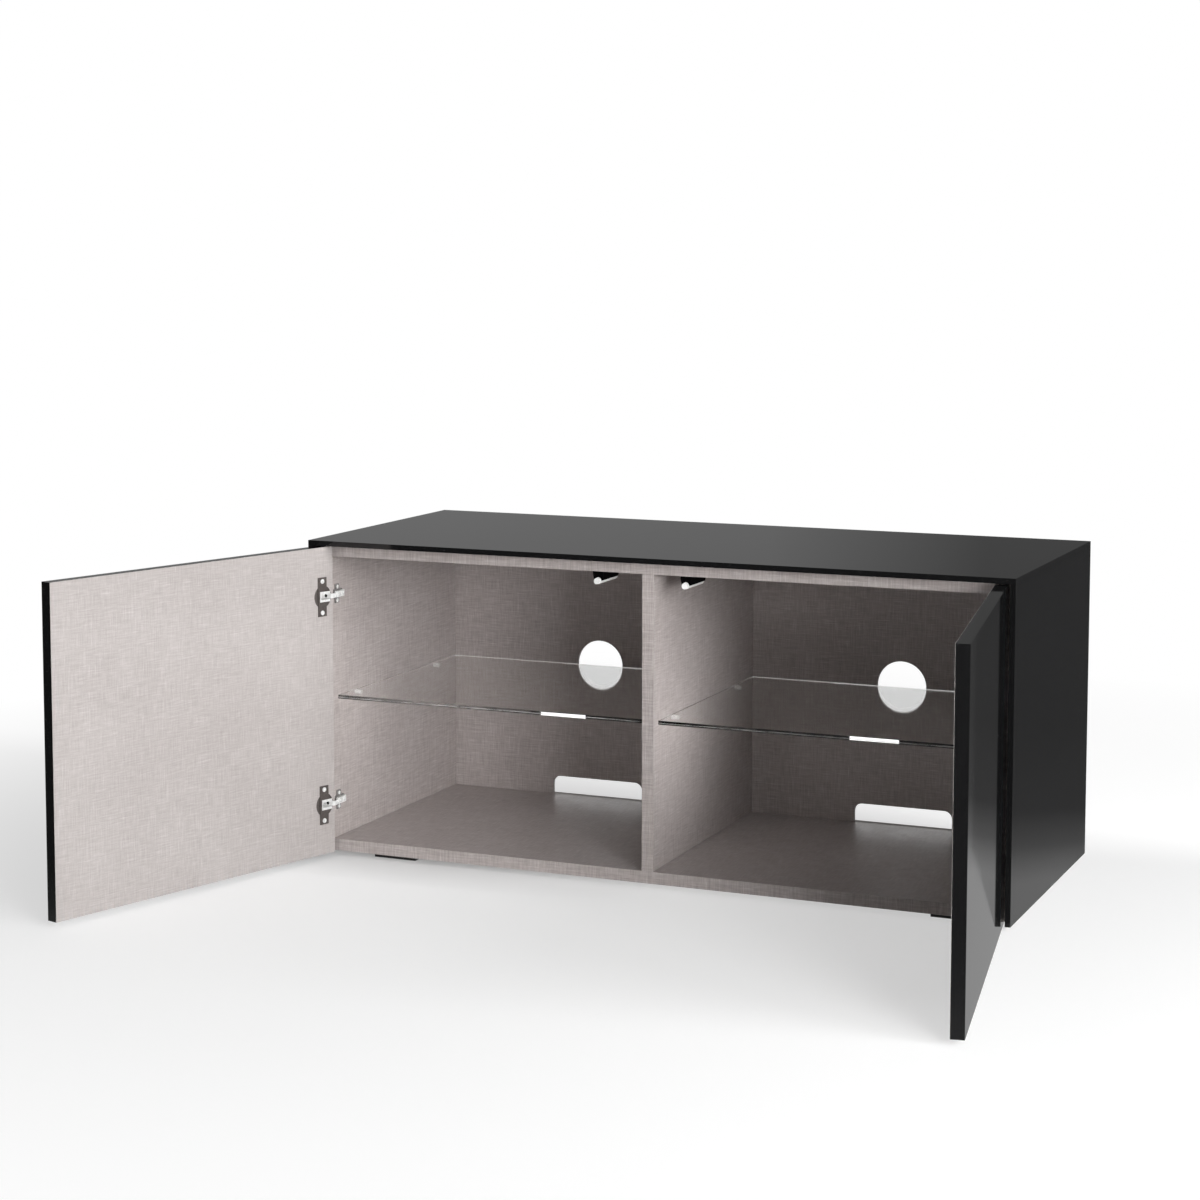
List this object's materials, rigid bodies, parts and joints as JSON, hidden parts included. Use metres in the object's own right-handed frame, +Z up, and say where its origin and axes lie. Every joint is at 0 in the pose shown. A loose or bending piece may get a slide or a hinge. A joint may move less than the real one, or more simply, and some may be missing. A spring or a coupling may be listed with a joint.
{
  "type": "media cabinet",
  "caption": "Low media cabinet: linen-laminate carcass clad in black glass, swing doors on concealed hinges, push latches, glass shelves and cable openings in the back.",
  "frame": {"origin": "On the floor, at the underside of the middle foot and the centre of the carcass in plan.", "axes": "+X runs along the cabinet's width toward its right end as seen from the front, +Y runs from the doors toward the back, +Z is up."},
  "size_m": [1.3126, 0.9777, 0.493],
  "materials": {
    "black_glass": "opaque gloss black, back-painted",
    "clear_glass": "clear float glass with polished edges",
    "linen_laminate": "warm grey linen-weave laminate on chipboard",
    "door_panel": "gloss black outer face and edges, linen-weave laminate inner face",
    "foot_rubber": "matte black pad",
    "hinge_steel": "nickel-plated pressed steel",
    "bright_steel": "bright zinc-plated steel",
    "black_plastic": "moulded black plastic",
    "pale_plastic": "moulded pale grey plastic"
  },
  "bodies": {
    "carcass": {"bottom_board": "linen_laminate", "divider_board": "linen_laminate", "left_back_panel": "linen_laminate", "left_front_foot": "foot_rubber", "left_latch_housing": "black_plastic", "left_latch_tube": "pale_plastic", "left_lower_hinge_arm": "hinge_steel", "left_lower_hinge_plate": "hinge_steel", "left_rear_foot": "foot_rubber", "left_shelf": "clear_glass", "left_shelf_pin_inner_front": "bright_steel", "left_shelf_pin_inner_rear": "bright_steel", "left_shelf_pin_outer_front": "bright_steel", "left_shelf_pin_outer_rear": "bright_steel", "left_side_board": "linen_laminate", "left_side_glass": "black_glass", "left_upper_hinge_arm": "hinge_steel", "left_upper_hinge_plate": "hinge_steel", "middle_foot": "foot_rubber", "right_back_panel": "linen_laminate", "right_front_foot": "foot_rubber", "right_latch_housing": "black_plastic", "right_latch_tube": "pale_plastic", "right_lower_hinge_arm": "hinge_steel", "right_lower_hinge_plate": "hinge_steel", "right_rear_foot": "foot_rubber", "right_shelf": "clear_glass", "right_shelf_pin_inner_front": "bright_steel", "right_shelf_pin_inner_rear": "bright_steel", "right_shelf_pin_outer_front": "bright_steel", "right_shelf_pin_outer_rear": "bright_steel", "right_side_board": "linen_laminate", "right_side_glass": "black_glass", "right_upper_hinge_arm": "hinge_steel", "right_upper_hinge_plate": "hinge_steel", "top_board": "linen_laminate", "top_glass": "black_glass"},
    "left_door": {"left_door": "door_panel", "left_lower_hinge_cup": "hinge_steel", "left_lower_hinge_pin": "bright_steel", "left_lower_hinge_screw_high": "bright_steel", "left_lower_hinge_screw_low": "bright_steel", "left_upper_hinge_cup": "hinge_steel", "left_upper_hinge_pin": "bright_steel", "left_upper_hinge_screw_high": "bright_steel", "left_upper_hinge_screw_low": "bright_steel"},
    "right_door": {"right_door": "door_panel", "right_lower_hinge_cup": "hinge_steel", "right_lower_hinge_pin": "bright_steel", "right_lower_hinge_screw_high": "bright_steel", "right_lower_hinge_screw_low": "bright_steel", "right_upper_hinge_cup": "hinge_steel", "right_upper_hinge_pin": "bright_steel", "right_upper_hinge_screw_high": "bright_steel", "right_upper_hinge_screw_low": "bright_steel"},
    "left_plunger": {"left_latch_plunger": "pale_plastic"},
    "right_plunger": {"right_latch_plunger": "pale_plastic"}
  },
  "joints": [
    {"name": "left_door_hinge", "type": "hinge", "parent": "carcass", "child": "left_door", "pos_m": [-0.53, -0.2221, 0.2464], "axis": [0, 0, -1], "range_deg": [-106.7, 0]},
    {"name": "right_door_hinge", "type": "hinge", "parent": "carcass", "child": "right_door", "pos_m": [0.53, -0.2221, 0.2464], "axis": [0, 0, 1], "range_deg": [-99.4, 7.3]},
    {"name": "left_latch_slide", "type": "slide", "parent": "carcass", "child": "left_plunger", "axis": [0, 1, 0], "range_m": [0, 0.003], "stiffness_N_per_m": 20},
    {"name": "right_latch_slide", "type": "slide", "parent": "carcass", "child": "right_plunger", "axis": [0, 1, 0], "range_m": [0, 0.003], "stiffness_N_per_m": 20}
  ]
}
